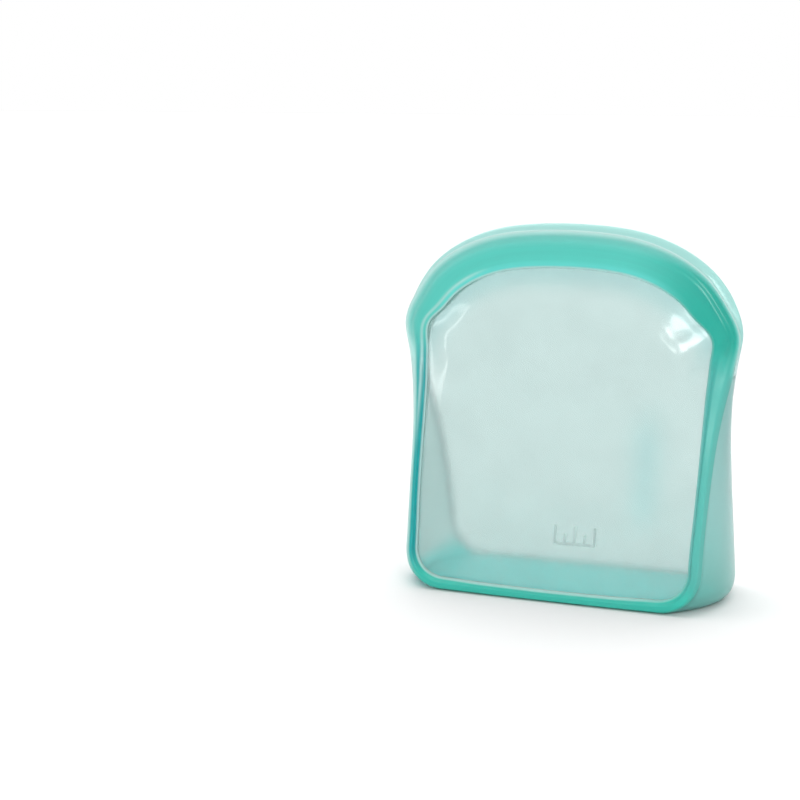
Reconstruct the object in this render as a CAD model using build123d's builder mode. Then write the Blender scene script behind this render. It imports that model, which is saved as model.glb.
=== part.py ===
from build123d import *
from math import pi, sin
import os

# Reusable silicone bag: one soft moulding that stands on a flat base, with a press-to-close seal
# round its domed top. Millimetres. The origin is the middle of the base, +Z up, the front faces -Y.
# Each functional zone of the moulding is its own solid.

os.makedirs("parts", exist_ok=True)

# Outline from the front
bag_height = 178.0
shoulder_height = 131.0
shoulder_half_width = 86.0
notch_height = 115.0
notch_half_width = 83.0
base_half_width = 75.0
base_half_depth = 31.0
base_corner_radius = 20.0
side_bulge_depth = 7.5
side_bulge_least = 0.5
side_curve = 1.6
depth_curve = 1.35
least_half_depth = 0.5
panel_bow = 1.5
base_bow = 0.8
cheek_across = 0.76
cheek_up = 0.68
outline_slack = 1.0
section_heights = (0.0, 28.0, 56.0, 84.0, 110.0)

# Wall thicknesses
panel_thickness = 1.6
base_thickness = 2.4
rim_stand_out = 0.8
rim_width = 6.5
rim_depth = 4.0
rim_bottom_width = 5.5
cut_reach = 100.0

# Heights at which the fixed and the moving walls end, either side of the fold lines
corner_bottom = 98.0
fixed_wall_top = 108.5
moving_wall_bottom = 115.0
lip_bottom = 118.0

# Seal: two lips pressed together across the plane y = 0
lip_gap = 0.3
front_band_thickness = 3.3
pull_edge_width = 5.0
pull_edge_side_width = 3.5
pull_edge_thickness = 2.2
seal_top_width = 18.5
seal_side_width = 9.5
rail_depth = 2.3
back_plate_thickness = 2.0
bead_width = 2.0
bead_clearance = 0.45
rail_width = 1.4
bead_top_inset = 9.0
bead_side_inset = 5.4
back_edge_extra = 2.5

# Raised fill-level marks on the front
mark_height = 0.5
mark_foot = (13.0, 29.0)
mark_length = 22.0
mark_stroke = 1.3
tick_spacing = 5.0
tick_lengths = (9.0, 5.0, 9.0, 5.0, 9.0)

top_inset_height = bag_height - seal_top_width
dome_middle_height = (shoulder_height + top_inset_height) / 2


def half_width(z):
    """Half the distance between the left and right front edges at height z."""
    return base_half_width + (notch_half_width - base_half_width) * (z / notch_height) ** side_curve


def half_depth(z):
    """Half the distance between the front and back edges at height z."""
    return base_half_depth * (1 - (z / notch_height) ** depth_curve)


def middle_depth(z):
    """Distance of the front wall from the seal plane on the bag's middle line."""
    lip_face = lip_gap + front_band_thickness
    foot = base_half_depth + base_bow
    taper = foot + (lip_face - foot) * z / top_inset_height
    return taper + panel_bow * sin(pi * z / top_inset_height)


def side_bulge(z):
    """How far a side wall swells beyond the front and back edges."""
    return side_bulge_least + side_bulge_depth * (1 - (z / notch_height) ** side_curve)


def front_outline(swell, inset):
    """The bag's outline from the front with rounded bottom corners, swell wider on each side."""
    foot = half_width(0) + swell + outline_slack
    brow = foot + notch_half_width - base_half_width
    with BuildSketch() as outline:
        with BuildLine():
            Polyline((-brow, notch_height), (-foot, 0), (foot, 0), (brow, notch_height), close=True)
        make_face()
        offset(amount=-inset, kind=Kind.INTERSECTION)
        fillet(vertices().group_by(Axis.Y)[0], base_corner_radius)
    return outline.sketch


def corner_rounding(inset):
    """Solid that rounds the bag's bottom corners: widest midway between the front and the back."""
    reach = base_half_depth + outline_slack
    with BuildPart() as tool:
        for place, swell in ((-reach, side_bulge_least), (0, side_bulge(0)), (reach, side_bulge_least)):
            with BuildSketch(Plane.XZ.offset(-place)):
                add(front_outline(swell, inset))
        loft()
    return tool.part


def bag_solid(inset):
    """The bag's lower body as a solid, its surface moved inwards by inset."""
    with BuildPart() as solid:
        for level in section_heights:
            w = half_width(level) - inset
            d = max(half_depth(level) - inset, least_half_depth)
            front = middle_depth(level) - inset
            side = half_width(level) + side_bulge(level) - inset
            with BuildSketch(Plane.XY.offset(level)):
                with BuildLine():
                    ThreePointArc((-w, -d), (0, -front), (w, -d))
                    ThreePointArc((w, -d), (side, 0), (w, d))
                    ThreePointArc((w, d), (0, front), (-w, d))
                    ThreePointArc((-w, d), (-side, 0), (-w, -d))
                make_face()
        loft()
        add(corner_rounding(inset), mode=Mode.INTERSECT)
    return solid.part


def window(depth, sign):
    """Prism through one face of the bag, inside the rim. sign is -1 at the front, 1 at the back."""
    low = half_width(0) - rim_width
    high = half_width(fixed_wall_top) - rim_width
    with BuildPart() as prism:
        with BuildSketch(Plane.XZ):
            with BuildLine():
                Polyline(
                    (-high, fixed_wall_top), (-low, rim_bottom_width),
                    (low, rim_bottom_width), (high, fixed_wall_top), close=True,
                )
            make_face()
            fillet(vertices().group_by(Axis.Y)[0], base_corner_radius - rim_width)
        extrude(amount=-sign * depth)
    return prism.part


def side_slot(top):
    """Prism across the bag between the front and back rims, up to the given height."""
    levels = [top * step / 4 for step in range(5)]
    edge = [(half_depth(z) - rim_depth, z) for z in levels]
    with BuildPart() as prism:
        with BuildSketch(Plane.YZ):
            with BuildLine():
                Spline(*edge)
                Line(edge[-1], (-edge[-1][0], top))
                Spline(*[(-y, z) for y, z in edge])
                Line((-edge[0][0], 0), edge[0])
            make_face()
        extrude(amount=cut_reach, both=True)
    return prism.part


def export(builder, label):
    """Names a finished piece and writes it."""
    builder.part.label = label
    export_step(builder.part, f"parts/{label}.step")


outer = bag_solid(0)
inner = bag_solid(panel_thickness)
proud = bag_solid(-rim_stand_out)
marks_surface = bag_solid(-mark_height)
side_space = side_slot(corner_bottom)

# Base: the flat floor panel between the rims
with BuildPart() as base_panel:
    flat_length = 2 * (base_half_width - base_corner_radius)
    flat_depth = 2 * (base_half_depth - rim_depth)
    Box(flat_length, flat_depth, base_thickness, align=(Align.CENTER, Align.CENTER, Align.MIN))
    add(side_space, mode=Mode.INTERSECT)
export(base_panel, "base_panel")

# Front and back panels: the thin walls inside the rims
for label, sign in (("front_panel", -1), ("back_panel", 1)):
    with BuildPart() as panel:
        add(outer)
        add(inner, mode=Mode.SUBTRACT)
        add(window(base_half_depth * 2, sign), mode=Mode.INTERSECT)
    export(panel, label)

# Side walls: they bulge between the rims and round into the base
for label, sign in (("left_side_wall", -1), ("right_side_wall", 1)):
    with BuildPart() as side:
        add(outer)
        add(inner, mode=Mode.SUBTRACT)
        add(side_space, mode=Mode.INTERSECT)
        with Locations((sign * (flat_length / 2 + cut_reach / 2), 0, corner_bottom / 2)):
            Box(cut_reach, cut_reach, corner_bottom, mode=Mode.INTERSECT)
    export(side, label)

# Rims: the thick frames round the front and back faces
for label, sign in (("front_rim", -1), ("back_rim", 1)):
    with BuildPart() as rim:
        add(proud)
        add(inner, mode=Mode.SUBTRACT)
        add(side_space, mode=Mode.SUBTRACT)
        add(window(base_half_depth * 2, sign), mode=Mode.SUBTRACT)
        with Locations((0, sign * cut_reach / 2, corner_bottom / 2)):
            Box(2 * cut_reach, cut_reach, corner_bottom, mode=Mode.INTERSECT)
    export(rim, label)

# Mouth corners: where the rims of both faces run together under the ends of the seal
for label, sign in (("left_mouth_corner", -1), ("right_mouth_corner", 1)):
    with BuildPart() as corner:
        add(proud)
        inner_side = half_width(corner_bottom) - rim_width
        with Locations((sign * (inner_side + cut_reach / 2), 0, (corner_bottom + fixed_wall_top) / 2)):
            Box(cut_reach, cut_reach, fixed_wall_top - corner_bottom, mode=Mode.INTERSECT)
        add(window(base_half_depth * 2, -1), mode=Mode.SUBTRACT)
        add(window(base_half_depth * 2, 1), mode=Mode.SUBTRACT)
    export(corner, label)

# Fill marks: a short ruler on the front panel
with BuildPart() as fill_marks:
    add(marks_surface)
    add(outer, mode=Mode.SUBTRACT)
    with BuildSketch(Plane.XZ):
        with Locations(mark_foot):
            Rectangle(mark_length, mark_stroke)
        for number, tick in enumerate(tick_lengths):
            across = mark_foot[0] + tick_spacing * (number - len(tick_lengths) // 2)
            with Locations((across, mark_foot[1])):
                Rectangle(mark_stroke, tick, align=(Align.CENTER, Align.MIN))
    extrude(amount=base_half_depth * 2, mode=Mode.INTERSECT)
export(fill_marks, "fill_marks")


def dome_face(top_inset, side_inset):
    """The domed outline of a lip, moved in by top_inset at the top and side_inset at the sides."""
    side = shoulder_half_width - side_inset
    end = notch_half_width - side_inset
    top = bag_height - top_inset
    cheek = (cheek_across * side, shoulder_height + cheek_up * (top - shoulder_height))
    with BuildSketch() as face:
        with BuildLine():
            Polyline((0, lip_bottom), (end, lip_bottom), (side, shoulder_height))
            Spline((side, shoulder_height), cheek, (0, top), tangents=[(0, 1), (-1, 0)])
            mirror(about=Plane.YZ)
        make_face()
    return face.sketch


def arch(outer_face, inner_face, near, far):
    """A domed strip between two outlines, from y = near to y = far."""
    with BuildPart() as strip:
        with BuildSketch(Plane.XZ.offset(-near)):
            add(outer_face)
            add(inner_face, mode=Mode.SUBTRACT)
        extrude(amount=near - far)
    return strip


def upper_panel(sign, opening):
    """The thin wall above the fold line, curved out from the lip and filling the given opening."""
    with BuildPart() as panel:
        for level in (moving_wall_bottom, shoulder_height, dome_middle_height, top_inset_height + 1):
            w = notch_half_width
            edge = sign * (lip_gap + panel_thickness)
            middle = sign * middle_depth(level)
            skin = sign * panel_thickness
            with BuildSketch(Plane.XY.offset(level)):
                with BuildLine():
                    ThreePointArc((-w, edge), (0, middle), (w, edge))
                    Line((w, edge), (w, edge - skin))
                    ThreePointArc((w, edge - skin), (0, middle - skin), (-w, edge - skin))
                    Line((-w, edge - skin), (-w, edge))
                make_face()
        loft()
        with BuildSketch(Plane.XZ):
            add(opening)
            with Locations((0, (moving_wall_bottom + lip_bottom) / 2)):
                Rectangle(2 * (notch_half_width - seal_side_width), lip_bottom - moving_wall_bottom)
        extrude(amount=base_half_depth, both=True, mode=Mode.INTERSECT)
    return panel


outline = dome_face(0, 0)
back_outline = dome_face(-back_edge_extra, -back_edge_extra)
band_outline = dome_face(pull_edge_width, pull_edge_side_width)
band_opening = dome_face(seal_top_width, seal_side_width)
bead_outer = dome_face(bead_top_inset, bead_side_inset)
bead_inner = dome_face(bead_top_inset + bead_width, bead_side_inset + bead_width)

front_face = -(lip_gap + front_band_thickness)
rail_face = lip_gap + rail_depth
back_face = rail_face + back_plate_thickness

# Front lip: band, pull edge, sealing bead and upper panel
front_seal_band = arch(band_outline, band_opening, -lip_gap, front_face)
export(front_seal_band, "front_seal_band")

front_pull_edge = arch(outline, band_outline, -lip_gap, -lip_gap - pull_edge_thickness)
export(front_pull_edge, "front_pull_edge")

seal_bead = arch(bead_outer, bead_inner, rail_face - bead_clearance, -lip_gap)
export(seal_bead, "seal_bead")

export(upper_panel(-1, band_opening), "front_upper_panel")

# Back lip: band, pull edge, the two rails of the channel and upper panel
back_seal_band = arch(band_outline, band_opening, back_face, rail_face)
export(back_seal_band, "back_seal_band")

back_pull_edge = arch(back_outline, band_outline, back_face, back_face - pull_edge_thickness)
export(back_pull_edge, "back_pull_edge")

for label, start in (
    ("outer_channel_rail", -bead_clearance - rail_width),
    ("inner_channel_rail", bead_width + bead_clearance),
):
    near_outline = dome_face(bead_top_inset + start, bead_side_inset + start)
    far_outline = dome_face(bead_top_inset + start + rail_width, bead_side_inset + start + rail_width)
    export(arch(near_outline, far_outline, rail_face, lip_gap), label)

export(upper_panel(1, band_opening), "back_upper_panel")
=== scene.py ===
import math

import bmesh
import bpy
import numpy as np
from mathutils import Matrix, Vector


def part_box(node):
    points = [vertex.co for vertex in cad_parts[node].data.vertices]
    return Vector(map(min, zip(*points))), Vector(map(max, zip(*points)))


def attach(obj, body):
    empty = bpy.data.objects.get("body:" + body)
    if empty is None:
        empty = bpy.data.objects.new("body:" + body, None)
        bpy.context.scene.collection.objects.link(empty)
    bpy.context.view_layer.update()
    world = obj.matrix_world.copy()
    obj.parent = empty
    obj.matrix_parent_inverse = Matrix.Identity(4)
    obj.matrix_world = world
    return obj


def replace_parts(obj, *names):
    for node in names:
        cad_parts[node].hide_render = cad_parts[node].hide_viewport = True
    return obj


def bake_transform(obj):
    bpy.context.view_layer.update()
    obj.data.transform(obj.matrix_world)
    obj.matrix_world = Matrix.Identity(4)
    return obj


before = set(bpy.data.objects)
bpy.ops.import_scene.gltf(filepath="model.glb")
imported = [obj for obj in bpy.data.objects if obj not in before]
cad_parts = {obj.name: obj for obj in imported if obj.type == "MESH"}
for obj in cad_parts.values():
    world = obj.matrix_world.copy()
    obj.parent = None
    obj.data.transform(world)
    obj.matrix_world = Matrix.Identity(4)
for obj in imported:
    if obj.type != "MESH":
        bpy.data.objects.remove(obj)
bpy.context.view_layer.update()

# ---------------------------------------------------------------------------------------------
# Sizes, in millimetres. The main ones are read from the frame. The front view's x runs to the
# right and z up. The seal plane is y = 0, with the front face at negative y.
# ---------------------------------------------------------------------------------------------
MM = 0.001


def corner(node, side, axis):
    """One coordinate of a CAD node's box, in millimetres. side 0 is its low corner, 1 its high."""
    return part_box(node)[side][axis] / MM


BASE_BORDER = 4.0               # from the edge of the CAD base panel out to the face

# Read from the frame: the front lip's height and half width, how much higher the back lip is, the
# top of the front wall, half the depth at the base, and the base's thickness
TOP = corner("front_pull_edge", 1, 2)
SHOULDER = corner("front_pull_edge", 1, 0)
BACK_GROW = corner("back_pull_edge", 1, 2) - TOP
PANEL_TOP = corner("front_upper_panel", 1, 2)
BASE_DEPTH = corner("base_panel", 1, 1) + BASE_BORDER
BASE_TOP = corner("base_panel", 1, 2)

# Distances from the seal plane of the front band's outer and inner surface, and of the back band's
BAND_FACE = -corner("front_seal_band", 0, 1)
LIP_GAP = -corner("front_seal_band", 1, 1)
BACK_FACE = corner("back_seal_band", 1, 1)
RAIL_FACE = corner("back_seal_band", 0, 1)

NOTCH = 115.0                   # height of the notches under the ends of the seal
CORNER_RADIUS = 20.0            # bottom corners of the faces
BASE_HALF = 76.0                # half the width at the base
PEAK = (122.0, 150.0)           # heights between which the lips' top takes its full form

WEDGE_CURVE = 1.35              # how the sides grow thinner from the base to the notch
LENS_CURVE = 2.6                # how a face falls back from its middle to its sides
MIDDLE_LEAD = 0.8               # by how much a face's middle stands out at the base
MIDDLE_SWELL = 1.8              # and half-way up, beyond a straight line

PANEL_SKIN = 1.3                # thickness of the front and back walls
SIDE_SKIN = 1.5                 # thickness of the side walls

AROUND = 420                    # points round an outline
SPAN_POINTS = 24                # points along a curve from one listed point to the next

# Half outline of the front face, from the top of the dome to the start of the bottom corner
HALF_OUTLINE = [
    (0.0, TOP), (30.0, TOP - 2.0), (52.0, TOP - 8.5), (69.0, TOP - 19.5), (80.0, TOP - 34.0),
    (SHOULDER, 130.0), (83.6, 114.0), (80.6, 98.0), (78.2, 80.0), (76.9, 58.0), (76.2, 36.0),
    (BASE_HALF, CORNER_RADIUS),
]

# Width of the thick frame at shares of the way from the top middle to the bottom middle
FRAME_WIDTH = [
    (0.0, 18.5), (0.12, 18.5), (0.25, 18.5), (0.31, 16.5), (0.36, 13.5), (0.41, 11.2),
    (0.465, 9.0), (0.51, 7.0), (0.6, 6.0), (0.67, 6.2), (0.775, 7.8), (0.86, 5.8), (1.0, 5.3),
]


def smooth_step(value, low, high):
    """0 below low, 1 above high, smooth between."""
    t = np.clip((np.asarray(value, float) - low) / (high - low), 0, 1)
    return t * t * (3 - 2 * t)


def through(points):
    """A smooth curve through the points (Catmull-Rom)."""
    p = np.array(points, float)
    p = np.vstack([2 * p[0] - p[1], p, 2 * p[-1] - p[-2]])
    t = np.linspace(0, 1, SPAN_POINTS, endpoint=False)[:, None]
    spans = []
    for a, b, c, d in zip(p, p[1:], p[2:], p[3:]):
        spans.append(0.5 * (2 * b + (c - a) * t + (2 * a - 5 * b + 4 * c - d) * t ** 2
                            + (3 * b - a - 3 * c + d) * t ** 3))
    return np.vstack(spans + [p[-2:-1]])


def soften(values, reach):
    """Evens out values along the closed outline, over reach points to each side."""
    wrapped = np.concatenate([values[-reach:], values, values[:reach]])
    even = np.ones(2 * reach + 1) / (2 * reach + 1)
    return np.stack([np.convolve(column, even, "valid") for column in wrapped.T], 1)


def face_outline():
    """The closed outline seen from the front, its inward normals, and each point's share of the
    way from the top middle to the bottom middle, negative on the left."""
    turn = np.linspace(0, math.pi / 2, 16)[1:]
    bend = np.stack([BASE_HALF - CORNER_RADIUS * (1 - np.cos(turn)),
                     CORNER_RADIUS * (1 - np.sin(turn))], 1)
    mirrored = (-HALF_OUTLINE[1][0], HALF_OUTLINE[1][1])
    upper = through([mirrored] + HALF_OUTLINE)[SPAN_POINTS:]
    half = np.vstack([upper, bend, [[0.0, 0.0]]])
    steps = np.linalg.norm(np.diff(half, axis=0), axis=1)
    along = np.concatenate([[0], np.cumsum(steps)])
    share = (np.arange(AROUND) + 0.5) / AROUND * 2 - 1
    at = np.abs(share) * along[-1]
    points = np.stack([np.interp(at, along, half[:, 0]) * np.sign(share),
                       np.interp(at, along, half[:, 1])], 1)
    tangent = np.roll(points, -1, 0) - np.roll(points, 1, 0)
    tangent /= np.linalg.norm(tangent, axis=1)[:, None]
    inward = np.stack([tangent[:, 1], -tangent[:, 0]], 1)
    return points, soften(inward, reach=12), share


OUTLINE, INWARD, SHARE = face_outline()
PART_WAY = np.abs(SHARE)
WIDTH = np.interp(PART_WAY, *np.array(FRAME_WIDTH).T)
WIDTH = soften(WIDTH[:, None], reach=8)[:, 0]

# 1 along the dome, 0 below the shoulders
DOME = 1 - smooth_step(PART_WAY, 0.35, 0.44)

# How full the front wall stands beside its frame: less below the shoulders
PUFF = 1 - 0.75 * smooth_step(PART_WAY, 0.33, 0.62)


def half_width(z):
    """Half the face's width at height z."""
    right = SHARE > 0
    order = np.argsort(OUTLINE[right, 1])
    return np.interp(z, OUTLINE[right, 1][order], OUTLINE[right, 0][order])


def edge_depth(z, lip):
    """How far the face's edge stands from the seal plane at height z."""
    wedge = BASE_DEPTH * (1 - (np.clip(z, 0, NOTCH) / NOTCH) ** WEDGE_CURVE)
    return np.sqrt(wedge ** 2 + lip ** 2)


def middle_depth(z, lip):
    """How far the face stands from the seal plane on the middle line."""
    base = BASE_DEPTH + MIDDLE_LEAD
    up = np.clip(z / PANEL_TOP, 0, 1)
    return base + (lip - base) * up + MIDDLE_SWELL * np.sin(math.pi * up)


def face_depth(x, z, lip):
    """Distance of the face's outer surface from the seal plane. lip is that of the lip."""
    width = np.maximum(half_width(np.minimum(z, PEAK[1])), np.abs(x) + 0.01)
    lens = 1 - (np.abs(x) / width) ** LENS_CURVE
    low = edge_depth(z, lip)
    return low + (np.maximum(middle_depth(z, lip), low) - low) * lens


# ---------------------------------------------------------------------------------------------
# Mesh building
# ---------------------------------------------------------------------------------------------
def make_piece(name, points, faces, material, tint, flow=None):
    """A smooth-shaded mesh object from points in millimetres. tint is its colour, or one for each
    point; flow is each point's place across and along the moulding, for the flow marks."""
    mesh = bpy.data.meshes.new(name)
    mesh.from_pydata((np.asarray(points) * MM).tolist(), [], faces)
    mesh.validate()
    piece = bpy.data.objects.new(name, mesh)
    bpy.context.scene.collection.objects.link(piece)
    mesh.materials.append(material)
    mesh.polygons.foreach_set("use_smooth", [True] * len(mesh.polygons))
    if flow is None:
        flow = np.asarray(points) * MM * 40
    tint = np.broadcast_to(np.asarray(tint, float).reshape(-1, 3), (len(points), 3))
    rgba = np.hstack([tint, np.ones((len(points), 1))])
    mesh.color_attributes.new("tint", "FLOAT_COLOR", "POINT").data.foreach_set("color", rgba.ravel())
    mesh.attributes.new("flow", "FLOAT_VECTOR", "POINT").data.foreach_set(
        "vector", np.asarray(flow, float).ravel())
    turn_outward(mesh)
    return piece


def turn_outward(mesh):
    """Makes every normal of a closed mesh point outwards."""
    bm = bmesh.new()
    bm.from_mesh(mesh)
    bmesh.ops.recalc_face_normals(bm, faces=bm.faces)
    bm.to_mesh(mesh)
    bm.free()


def loop_faces(rows, columns, closed=False):
    """Quads between rows of points, each row a closed loop. Where the sweep through the rows is
    closed too, the last row joins the first."""
    faces = []
    for i in range(rows if closed else rows - 1):
        for j in range(columns):
            k, n = (i + 1) % rows, (j + 1) % columns
            faces.append((i * columns + j, i * columns + n, k * columns + n, k * columns + j))
    return faces


def tube(name, sections, closed, material, tint, flow=None):
    """A solid swept through sections, each a closed loop of points. Where the sweep itself isn't
    closed, both ends get a cap."""
    sections = np.asarray(sections)
    rows, columns = sections.shape[:2]
    faces = loop_faces(rows, columns, closed)
    if not closed:
        faces.append(tuple(range(columns)))
        faces.append(tuple(reversed(range((rows - 1) * columns, rows * columns))))
    return make_piece(name, sections.reshape(-1, 3), faces, material, tint, flow)


def bag_points(place, depth, sign):
    """Points in space from front-view places and distances from the seal plane. sign is -1 for
    the front face and 1 for the back face."""
    return np.stack([place[..., 0], sign * depth, place[..., 1]], -1)


def inset(distance):
    """The outline with each point moved inwards by its distance."""
    return OUTLINE + INWARD * distance[:, None]


def rounding(distance, reach, drop):
    """How far a rounded edge falls back: by drop at the very edge, and by 0 from reach inwards."""
    near = np.clip(1 - distance / reach, 0, 1)
    return drop * (1 - np.sqrt(1 - near ** 2))


# ---------------------------------------------------------------------------------------------
# Materials
# ---------------------------------------------------------------------------------------------
def silicone(name, milk, roughness, coat, density):
    """Moulded silicone with the piece's own tint, faint streaks along the flow of the moulding and
    a satin grain. milk is how milky it is, from 0 for clear to 1, and density how strongly it
    takes colour from light that runs through it."""
    material = bpy.data.materials.new(name)
    material.use_nodes = True
    nodes, links = material.node_tree.nodes, material.node_tree.links
    shader = nodes["Principled BSDF"]
    shader.inputs["IOR"].default_value = 1.41
    shader.inputs["Transmission Weight"].default_value = 1.0 - milk
    shader.inputs["Coat Weight"].default_value = coat
    shader.inputs["Coat Roughness"].default_value = 0.08
    tint = nodes.new("ShaderNodeAttribute")
    tint.attribute_name = "tint"
    flow = nodes.new("ShaderNodeAttribute")
    flow.attribute_name = "flow"
    streak = nodes.new("ShaderNodeTexNoise")
    streak.inputs["Scale"].default_value = 1.0
    streak.inputs["Detail"].default_value = 3.0
    links.new(flow.outputs["Vector"], streak.inputs["Vector"])
    shade = nodes.new("ShaderNodeMapRange")
    shade.inputs["To Min"].default_value = 0.93
    shade.inputs["To Max"].default_value = 1.05
    links.new(streak.outputs["Fac"], shade.inputs["Value"])
    tinted = nodes.new("ShaderNodeVectorMath")
    tinted.operation = "SCALE"
    links.new(tint.outputs["Color"], tinted.inputs["Vector"])
    links.new(shade.outputs["Result"], tinted.inputs["Scale"])
    links.new(tinted.outputs["Vector"], shader.inputs["Base Color"])
    satin = nodes.new("ShaderNodeMapRange")
    satin.inputs["To Min"].default_value = roughness * 0.8
    satin.inputs["To Max"].default_value = roughness * 1.2
    links.new(streak.outputs["Fac"], satin.inputs["Value"])
    links.new(satin.outputs["Result"], shader.inputs["Roughness"])
    place = nodes.new("ShaderNodeTexCoord")
    grain = nodes.new("ShaderNodeTexNoise")
    grain.inputs["Scale"].default_value = 900.0
    grain.inputs["Detail"].default_value = 2.0
    links.new(place.outputs["Object"], grain.inputs["Vector"])
    bump = nodes.new("ShaderNodeBump")
    bump.inputs["Strength"].default_value = 0.05
    bump.inputs["Distance"].default_value = 0.0004
    links.new(grain.outputs["Fac"], bump.inputs["Height"])
    links.new(bump.outputs["Normal"], shader.inputs["Normal"])
    depth = nodes.new("ShaderNodeVolumeAbsorption")
    depth.inputs["Color"].default_value = (0.3, 0.8, 0.76, 1)
    depth.inputs["Density"].default_value = density
    links.new(depth.outputs["Volume"], nodes["Material Output"].inputs["Volume"])
    return material


thick = silicone("silicone_thick_teal", milk=0.55, roughness=0.3, coat=0.2, density=12.0)
pale = silicone("silicone_pale_teal", milk=0.3, roughness=0.3, coat=0.3, density=12.0)
side_skin = silicone("silicone_side_teal", milk=0.35, roughness=0.3, coat=0.2, density=12.0)
floor_skin = silicone("silicone_base_teal", milk=0.85, roughness=0.3, coat=0.0, density=12.0)
thin = silicone("silicone_thin_mint", milk=0.08, roughness=0.2, coat=0.3, density=10.0)
relief = silicone("silicone_relief_mint", milk=1.0, roughness=0.3, coat=0.1, density=10.0)

# Tints: of the front frame's band round the dome, of its rim below, of the back frame, of the
# front and back walls, and of the side walls, the ruler and the base. Some are painted light:
# highlights on the frame's crest, inner edge and left rim, shade on the rim's flank and on the
# wall's top and dent, and tints lifted against shade on the rim's bottom and the left side wall
CLEAR_EDGE_AND_HIGHLIGHT = (0.62, 0.85, 0.82)
BAND_OUTER = (0.204, 0.68, 0.617)
BAND = (0.103, 0.706, 0.615)
BAND_INNER = (0.127, 0.77, 0.7)
BAND_SIDE = (0.0, 0.50, 0.40)
RIM = (0.10, 0.55, 0.485)
RIM_THIN_HIGHLIGHT = (0.60, 0.86, 0.83)
RIM_FLANK_SHADE = (0.0, 0.42, 0.43)
RIM_BOTTOM_PAINTED_LIGHT = (0.03, 0.626, 0.509)
CREST_HIGHLIGHT = (0.62, 0.86, 0.83)
LIP_PALE = (0.40, 0.72, 0.68)
BACK_RIM = (0.92, 1.0, 1.0)
WALL = (0.776, 0.875, 0.863)
WALL_TOP_SHADE = (0.672, 0.84, 0.832)
WALL_DENT_SHADE = (0.62, 0.84, 0.835)
SIDE_HIGH = (0.375, 0.68, 0.655)
SIDE_LOW = (0.22, 0.645, 0.59)
SIDE_LEFT_PAINTED_LIGHT = (0.78, 0.95, 0.935)
RELIEF = (0.78, 0.92, 0.91)
FLOOR = (0.02, 0.92, 0.88)


def mix(first, second, share):
    """Blends two tints, or arrays of them."""
    share = np.asarray(share, float)[..., None]
    return np.asarray(first, float) * (1 - share) + np.asarray(second, float) * share


CREST_INSET = 3.2               # from the frame's inner edge to the painted highlight on the crest at the left shoulder
CREST_SPREAD = 0.7


def frame_tint(away, share, width):
    """Tint of the front frame at away mm from its outer edge, which is that share of its width, with painted
    highlights and shade.
    """
    x, z = OUTLINE[:, 0], OUTLINE[:, 1]
    right = smooth_step(x, 30, 82)
    left = smooth_step(-x, 40, 70)

    # The band round the dome: clear at its edge and stronger inwards, soonest on the right
    inward = away / (1 - 0.75 * right)
    edge = mix(CLEAR_EDGE_AND_HIGHLIGHT, BAND_OUTER, smooth_step(inward, 0.2, 3.5))
    band = mix(edge, mix(BAND, BAND_SIDE, right), smooth_step(inward, 2.5, 9.0))
    band = mix(band, BAND_INNER, smooth_step(away, 14.0, 16.5) * (1 - right))

    # The rim below: its thin outer part pale on the left, a painted highlight, and its flank towards the
    # wall darker, painted shade, most on the left
    rim = mix(mix(RIM, RIM_THIN_HIGHLIGHT, 0.9 * left), RIM, smooth_step(share, 0.3, 0.5))
    flank = 0.58 - 0.18 * left
    rim = mix(rim, RIM_FLANK_SHADE, (0.2 + 0.8 * left) * smooth_step(share, flank, flank + 0.12))
    # Painted light: along the bottom the rim is a deeper, brighter teal, lifted where less light reaches it
    # from below
    rim = mix(rim, RIM_BOTTOM_PAINTED_LIGHT, 1 - smooth_step(z, 1, 20))

    # Over both, painted highlights: a pale streak along the crest at the left shoulder, and a pale line
    # along the inner edge
    crest_highlight = np.exp(-((away - width + CREST_INSET) / CREST_SPREAD) ** 2)
    crest_highlight = crest_highlight * smooth_step(-x, 42, 62) * smooth_step(z, 60, 100)
    tint = mix(mix(rim, band, DOME), CREST_HIGHLIGHT, 0.75 * crest_highlight)
    # The pale line along the inner edge is a painted highlight, in the clear edge's tint
    line = smooth_step(away, width - 1.3, width - 0.6)
    return mix(tint, CLEAR_EDGE_AND_HIGHLIGHT, line * (0.8 - 0.6 * right))


def bend(piece, lip, *nodes):
    """Makes the piece stand for the nodes: hides their CAD parts and bakes in its transform. lip is not
    used.
    """
    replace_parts(piece, *nodes)
    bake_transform(piece)


# ---------------------------------------------------------------------------------------------
# Frame rings: the thick edge all round each face, with the lip's pull edge round the dome
# ---------------------------------------------------------------------------------------------
PULL_EDGE = (3.6, 6.2)          # the thin pull edge ends between these distances from the outer edge
PULL_STEP = 0.4                 # from the gap between the lips out to the pull edge
FLARE_REACH = 5.0               # the flare fades out over this distance from the outer edge
WALL_STEP = 1.2                 # width of the rounded step down to the wall
LOW_BACK_WIDTH = 4.0            # width of the back frame below the dome


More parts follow.
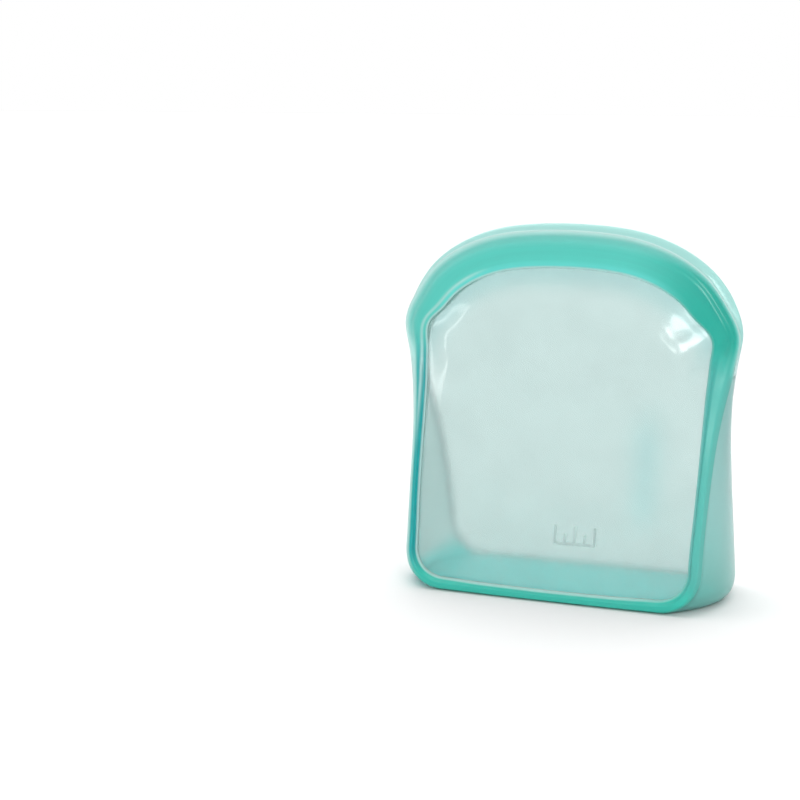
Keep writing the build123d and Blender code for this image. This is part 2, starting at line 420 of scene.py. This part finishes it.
def edge_ring(name, sign, lip, width, grow, dome_skin, low_skin, pull_skin, proud, ridge, flare,
              material):
    """The ring round one face. lip is the distance of the lip's outer surface from the seal plane,
    and grow lifts the dome's outer edge. The skins are the thickness of the dome, of the low part
    and of the pull edge. The ring stands proud of the wall. Its low part has a ridge along it, and
    its pull edge a flare outwards."""
    peak = smooth_step(OUTLINE[:, 1], *PEAK)
    outer, back, tints, flows = [], [], [], []
    for share in (1 - np.cos(np.linspace(0, math.pi, 30))) / 2:
        away = width * share
        place = inset(away - grow * peak * (1 - share))
        pull = DOME * (1 - smooth_step(away, *PULL_EDGE))

        flat = DOME * (1 - smooth_step(away, width - 1.0, width + 5.0))
        face = face_depth(place[:, 0], place[:, 1], lip) * (1 - flat) + lip * flat
        face = face + proud - pull * (proud + lip - LIP_GAP - pull_skin - PULL_STEP)
        face = face + flare * peak * pull * (1 - np.clip(away / FLARE_REACH, 0, 1)) ** 2
        face = face + ridge * (1 - DOME) * smooth_step(share, 0, 0.28) * (1 - smooth_step(share, 0.62, 0.86))

        skin = low_skin + (dome_skin - low_skin) * DOME
        skin = skin * (1 - pull) + pull_skin * pull
        skin = skin + (PANEL_SKIN + 2 * proud - skin) * smooth_step(away, width - 3.5, width - 0.3)

        radius = np.minimum(skin / 2, width / 4)
        edge = rounding(away, radius, radius)
        step = rounding(width - away, WALL_STEP, proud)
        outer.append(bag_points(place, face - edge - step, sign))
        back.append(bag_points(place, face - skin + edge, sign))
        tints.append(frame_tint(away, share, width) if sign < 0 else mix(BACK_RIM, LIP_PALE, DOME))

        # Flow marks are fine across the ring and long along it, and differ from left to right
        flows.append(np.stack([away * 0.9, PART_WAY * 3, np.sign(SHARE) * 4], 1))
    sections = np.stack(outer + back[::-1][:-1], 1)
    tints = np.stack(tints + tints[::-1][:-1], 1)
    flows = np.stack(flows + flows[::-1][:-1], 1)
    return tube(name, sections, True, material, tints, flows)


front_frame = edge_ring("front_frame", -1, BAND_FACE, WIDTH, grow=0.0, dome_skin=BAND_FACE - LIP_GAP,
                        low_skin=3.2, pull_skin=1.5, proud=0.5, ridge=2.0, flare=0.9, material=thick)
bend(front_frame, "front_lip", "front_rim", "front_seal_band", "front_pull_edge",
     "left_mouth_corner", "right_mouth_corner")

BACK_WIDTH = WIDTH * DOME + LOW_BACK_WIDTH * (1 - DOME)
back_frame = edge_ring("back_frame", 1, BACK_FACE, BACK_WIDTH, grow=BACK_GROW,
                       dome_skin=BACK_FACE - RAIL_FACE, low_skin=1.5, pull_skin=1.3, proud=0.1,
                       ridge=0.0, flare=3.0, material=pale)
bend(back_frame, "back_lip", "back_rim", "back_seal_band", "back_pull_edge")


# ---------------------------------------------------------------------------------------------
# Front and back walls: thin sheets inside the rings
# ---------------------------------------------------------------------------------------------
WALL_MIDDLE = np.array([0.0, 84.0])
WALL_TUCK = 0.9                 # how far the wall reaches under the frame
WALL_BORDER = 3.5               # width of the wall's finely divided border

DENT_DEPTH = 0.7
DENT_MIDDLE = 46.0              # its x
DENT_SPREAD = 8.0
DENT_FOOT = (30.0, 55.0)        # heights between which it fades in
DENT_HEAD = (75.0, 105.0)       # and out again


def dent(place):
    """How deep a place lies in the faint upright dent at the front wall's right, from 0 to 1."""
    x, z = place.T
    across = np.exp(-((x - DENT_MIDDLE) / DENT_SPREAD) ** 2)
    return across * smooth_step(z, *DENT_FOOT) * (1 - smooth_step(z, *DENT_HEAD))


def wall(name, sign, lip, width, pillow, sink, material):
    """The thin wall inside a frame of that width. pillow is how far it puffs out beside the frame,
    and sink how far its border lies below the frame's inner edge."""
    start = inset(width - WALL_TUCK)
    reach = np.linalg.norm(WALL_MIDDLE - start, axis=1)
    toward = (WALL_MIDDLE - start) / reach[:, None]

    # Rows of points run from the frame to the wall's middle, closest together at the border
    travels = [np.full(AROUND, step) for step in np.arange(0, WALL_BORDER, 0.35)]
    shares = 1 - (1 - np.linspace(0, 0.97, 34)) ** 1.6
    travels += [WALL_BORDER + (reach - WALL_BORDER) * share for share in shares]
    rows_out, rows_in, tints = [], [], []
    for travel in travels:
        place = start + toward * travel[:, None]
        depth = face_depth(place[:, 0], place[:, 1], lip)
        flat = DOME * (1 - smooth_step(travel, -2, 18))
        depth = depth * (1 - flat) + lip * flat
        depth = depth + pillow * PUFF * smooth_step(travel, -1, 18) * (1 - smooth_step(travel, 20, 70))
        depth = depth - sink * (1 - smooth_step(travel, 0.9, 3.0))
        hollow = dent(place) * (sign < 0)
        depth = depth - DENT_DEPTH * hollow
        rows_out.append(bag_points(place, depth, sign))
        rows_in.append(bag_points(place, depth - PANEL_SKIN, sign))
        # Painted shade: the wall is darker in a strip along its top, just under the band
        tint = mix(WALL_TOP_SHADE, WALL, 1 - DOME * (1 - smooth_step(travel, 4, 14)))
        # Painted shade: darker in the dent
        tints.append(mix(tint, WALL_DENT_SHADE, 0.8 * hollow))
    rows = rows_out[::-1] + rows_in
    tints = np.concatenate(tints[::-1] + tints)
    points = np.concatenate(rows)
    faces = loop_faces(len(rows), AROUND)
    faces.append(tuple(range(AROUND)))
    faces.append(tuple(range(len(points) - 1, len(points) - AROUND - 1, -1)))
    return make_piece(name, points, faces, material, tints)


front_wall = wall("front_wall", -1, BAND_FACE, WIDTH, pillow=4.0, sink=0.3, material=thin)
bend(front_wall, "front_lip", "front_panel", "front_upper_panel")

back_wall = wall("back_wall", 1, BACK_FACE, BACK_WIDTH, pillow=0.0, sink=0.05, material=thin)
bend(back_wall, "back_lip", "back_panel", "back_upper_panel")


# ---------------------------------------------------------------------------------------------
# Side walls and base: stretches of one strip between the two faces
# ---------------------------------------------------------------------------------------------
BASE_END = BASE_HALF - CORNER_RADIUS + 1.0
STRIP_LAP = 1.5                 # how far the base and the side walls run past BASE_END
STRIP_TOP = 111.0
FRONT_TUCK = 1.2                # how far the strip's front edge lies below the front face
BACK_TUCK = 0.7                 # and its back edge below the back face
SIDE_RADIUS = 10.0              # bottom corners half-way between the faces
BULGE_LEAST = 0.5               # how far the side walls swell outwards at the notch
SIDE_BULGE = 7.5                # and how much further at the base
BULGE_CURVE = 1.6


def squarer(place):
    """Places on the strip moved to where the bottom corners have the tighter SIDE_RADIUS."""
    far = 2 * BASE_HALF
    across = np.interp(np.abs(place[:, 0]), [0, BASE_HALF - CORNER_RADIUS, BASE_HALF, far],
                       [0, BASE_HALF - SIDE_RADIUS, BASE_HALF, far])
    up = np.interp(place[:, 1], [0, CORNER_RADIUS, BASE_HALF, far], [0, SIDE_RADIUS, BASE_HALF, far])
    return np.stack([across * np.sign(place[:, 0]), up], 1)


def strip(name, part, skin, lift, material, low, high, blend):
    """The stretch of the strip along the outline points in part. lift moves it inwards, and its
    tint runs from low at the floor to high at the height blend."""

    # Tucked under the frames, and less so at the base, which stands on the floor
    inward = 0.1 + lift + 0.8 * smooth_step(OUTLINE[part, 1], 2, 20)
    place = OUTLINE[part] + INWARD[part] * inward[:, None]
    x, z = place.T
    front = face_depth(x, z, BAND_FACE) - FRONT_TUCK
    back = face_depth(x, z, BACK_FACE) - BACK_TUCK
    swell = BULGE_LEAST + SIDE_BULGE * (1 - (np.clip(z, 0, NOTCH) / NOTCH) ** BULGE_CURVE)
    swell = swell * np.minimum(np.abs(x) / BASE_END, 1) ** 4 * np.sign(x)
    outer, inner = [], []
    for across in np.linspace(0, 1, 25):
        y = -front * (1 - across) + back * across
        middle = (4 * across * (1 - across)) ** 0.9
        shell = place + (squarer(place) - place) * middle
        shell[:, 0] += swell * middle
        lining = shell + INWARD[part] * skin
        outer.append(np.stack([shell[:, 0], y, shell[:, 1]], 1))
        inner.append(np.stack([lining[:, 0], y, lining[:, 1]], 1))
    sections = np.stack(outer + inner[::-1], 1)
    tint = np.repeat(mix(low, high, smooth_step(z, 0, blend))[:, None], sections.shape[1], 1)
    piece = tube(name, sections, False, material, tint)
    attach(piece, "bag_body")
    return piece


# The outline points below the mouth: down the right side, along the base and up the left side
STRIP = sorted((i for i in range(AROUND) if PART_WAY[i] > 0.35 and OUTLINE[i, 1] < STRIP_TOP),
               key=lambda i: SHARE[i] % 2)

# Each side's sign, its tint at the floor and higher up, and the height where that one is reached.
# The left side's paler tint is painted light, lifted against the shade it gets behind the front wall
SIDES = {"left": (-1, FLOOR, SIDE_LEFT_PAINTED_LIGHT, 16), "right": (1, SIDE_LOW, SIDE_HIGH, 60)}
for side, (sign, low, high, blend) in SIDES.items():
    run = [i for i in STRIP if sign * OUTLINE[i, 0] > BASE_END - STRIP_LAP]
    piece = strip(f"{side}_side_skin", run, SIDE_SKIN, 0.0, side_skin, low, high, blend)
    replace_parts(piece, f"{side}_side_wall")
base_run = [i for i in STRIP if abs(OUTLINE[i, 0]) < BASE_END + STRIP_LAP]
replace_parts(strip("base_skin", base_run, BASE_TOP, 0.1, floor_skin, FLOOR, FLOOR, 1), "base_panel")


# ---------------------------------------------------------------------------------------------
# Seal: a bead on the front lip and the two rails of its channel on the back lip
# ---------------------------------------------------------------------------------------------
SEAL_TOP = 9.0                  # from the outer edge to the bead at the top of the dome
SEAL_SIDE = 5.4                 # and at the bead's ends
SEAL_END = 119.0                # height of the seal's ends
BEAD_WIDTH = 2.0
RAIL_WIDTH = 1.4
SEAL_CLEARANCE = 0.45
SEAL_ROOT = 0.3                 # how deep the bead and the rails are rooted in their bands


def seal_strip(name, offset, width, root, nose, material, tint):
    """A rounded strip along the band from y = root to y = nose, offset inwards from the bead's line."""
    arch = [i for i in range(AROUND) if OUTLINE[i, 1] > SEAL_END and PART_WAY[i] < 0.5]
    up = smooth_step(OUTLINE[arch, 1], NOTCH + 16, TOP)
    start = SEAL_SIDE + offset + (SEAL_TOP - SEAL_SIDE) * up
    turns = np.linspace(0, math.pi, 9)
    profile = [(0.0, 0.0)] + [(0.5 - 0.5 * math.cos(a), 0.55 + 0.45 * math.sin(a)) for a in turns]
    profile.append((1.0, 0.0))
    loop = []
    for across, out in profile:
        place = OUTLINE[arch] + INWARD[arch] * (start + width * across)[:, None]
        y = np.full(len(arch), root + (nose - root) * out)
        loop.append(np.stack([place[:, 0], y, place[:, 1]], 1))
    return tube(name, np.stack(loop, 1), False, material, tint)


bead = seal_strip("sealing_bead", 0.0, BEAD_WIDTH, -LIP_GAP - SEAL_ROOT, RAIL_FACE - SEAL_CLEARANCE,
                  thick, BAND)
bend(bead, "front_lip", "seal_bead")
RAILS = {"outer_channel_rail": -SEAL_CLEARANCE - RAIL_WIDTH,
         "inner_channel_rail": BEAD_WIDTH + SEAL_CLEARANCE}
for label, offset in RAILS.items():
    rail = seal_strip(f"{label}_skin", offset, RAIL_WIDTH, RAIL_FACE + SEAL_ROOT, LIP_GAP, pale, LIP_PALE)
    bend(rail, "back_lip", label)


# ---------------------------------------------------------------------------------------------
# Fill marks: a low rounded ruler on the front wall
# ---------------------------------------------------------------------------------------------
RULER_MIDDLE = 13.0             # its x
RULER_HEIGHT = 29.0             # height of its line
RULER_HALF = 11.0
TICK_SPACING = 5.0
TICK_LONG = 9.0
TICK_SHORT = 5.0
STROKE = 1.5                    # width of a bar
RELIEF_FOOT = 0.02              # where a bar starts, above the face
RELIEF_HEIGHT = 0.18            # how far it stands out


def bar(start, end):
    """Sections of one rounded bar that follows the front wall."""
    start, end = np.array(start, float), np.array(end, float)
    way = (end - start) / np.linalg.norm(end - start)
    side = np.array([-way[1], way[0]])
    sections = []
    for along in np.linspace(0, 1, 14):
        swell = math.sqrt(max(1 - (2 * along - 1) ** 16, 0.02))
        loop = []
        for turn in np.linspace(0, math.pi, 10):
            x, z = start + (end - start) * along + side * STROKE / 2 * math.cos(turn) * swell
            depth = face_depth(x, z, BAND_FACE) + RELIEF_FOOT
            loop.append((x, -(depth + RELIEF_HEIGHT * math.sin(turn) * swell), z))
        sections.append(loop)
    return np.array(sections)


def fill_marks():
    """A short ruler: a line with ticks of two lengths."""
    z = RULER_HEIGHT
    strokes = [((RULER_MIDDLE - RULER_HALF, z), (RULER_MIDDLE + RULER_HALF, z))]
    for i in range(-2, 3):
        x = RULER_MIDDLE + TICK_SPACING * i
        strokes.append(((x, z), (x, z + (TICK_SHORT if i % 2 else TICK_LONG))))
    points, faces = [], []
    for start, end in strokes:
        sections = bar(start, end)
        rows, columns = sections.shape[:2]
        first = len(points)
        points += sections.reshape(-1, 3).tolist()
        quads = loop_faces(rows, columns)
        quads.append(tuple(range(columns)))
        quads.append(tuple(range((rows - 1) * columns, rows * columns)))
        faces += [tuple(first + i for i in quad) for quad in quads]
    return make_piece("fill_ruler", points, faces, relief, RELIEF)


marks = fill_marks()
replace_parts(marks, "fill_marks")
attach(marks, "bag_body")


# ---------------------------------------------------------------------------------------------
# Stage: floor, lights and camera, in metres and radians
# ---------------------------------------------------------------------------------------------
FLOOR_REACH = 4.0
CAMERA_PLACE = (0.3215, -0.9122, 0.285)
CAMERA_TURN = 0.4244            # to the left of straight ahead
CAMERA_DROP = 0.1943            # below the horizon
CAMERA_ROLL = -0.0163


def floor():
    """A wide pale floor."""
    mesh = bpy.data.meshes.new("floor")
    corners = [(-1, -1), (1, -1), (1, 1), (-1, 1)]
    mesh.from_pydata([(x * FLOOR_REACH, y * FLOOR_REACH, 0) for x, y in corners], [], [(0, 1, 2, 3)])
    ground = bpy.data.objects.new("floor", mesh)
    bpy.context.scene.collection.objects.link(ground)
    material = bpy.data.materials.new("pale_floor")
    material.use_nodes = True
    shader = material.node_tree.nodes["Principled BSDF"]
    shader.inputs["Base Color"].default_value = (0.70, 0.70, 0.70, 1)
    shader.inputs["Roughness"].default_value = 0.9
    shader.inputs["Specular IOR Level"].default_value = 0.1
    mesh.materials.append(material)


def aim(thing, place, target):
    """Puts a light at place, shining at target."""
    thing.location = place
    direction = np.array(target) - np.array(place)
    thing.rotation_euler = (math.atan2(math.hypot(direction[0], direction[1]), -direction[2]), 0,
                            math.atan2(direction[1], direction[0]) - math.pi / 2)


def softbox(name, place, target, size, size_y, glow):
    """A soft rectangular light. glow is its brightness against the white surroundings."""
    data = bpy.data.lights.new(name, "AREA")
    data.shape = "RECTANGLE"
    data.size = size
    data.size_y = size_y
    data.energy = glow * math.pi * size * size_y
    light = bpy.data.objects.new(name, data)
    bpy.context.scene.collection.objects.link(light)
    aim(light, place, target)


def surroundings():
    """White surroundings of brightness 1."""
    world = bpy.data.worlds.new("white")
    world.use_nodes = True
    background = world.node_tree.nodes["Background"]
    background.inputs["Color"].default_value = (1, 1, 1, 1)
    background.inputs["Strength"].default_value = 1.0
    bpy.context.scene.world = world


def sun():
    """A wide, soft key light from above, behind and a little to the left."""
    data = bpy.data.lights.new("key", "SUN")
    data.energy = 2.0
    data.angle = 1.4
    key = bpy.data.objects.new("key", data)
    bpy.context.scene.collection.objects.link(key)
    aim(key, (-0.25, 0.6, 1.0), (0, 0, 0))


def camera():
    """The photograph's viewpoint."""
    data = bpy.data.cameras.new("camera")
    data.lens = 90.0
    data.sensor_width = 36.0
    viewer = bpy.data.objects.new("camera", data)
    turn = (Matrix.Rotation(CAMERA_TURN, 4, "Z") @ Matrix.Rotation(math.pi / 2 - CAMERA_DROP, 4, "X")
            @ Matrix.Rotation(CAMERA_ROLL, 4, "Z"))
    viewer.location = CAMERA_PLACE
    viewer.rotation_euler = turn.to_euler()
    bpy.context.scene.collection.objects.link(viewer)
    bpy.context.scene.camera = viewer


floor()
surroundings()
sun()
softbox("left_strip", (-1.1, -0.42, 0.35), (0, 0, 0.1), size=0.12, size_y=0.9, glow=3.5)
softbox("right_pane", (0.671, -0.942, 0.692), (0.06, 0, 0.12), size=0.34, size_y=0.38, glow=10.0)
softbox("left_pane", (0.308, -1.165, 0.53), (0.06, 0, 0.12), size=0.2, size_y=0.2, glow=5.0)
camera()
bpy.context.scene.view_settings.view_transform = "Standard"
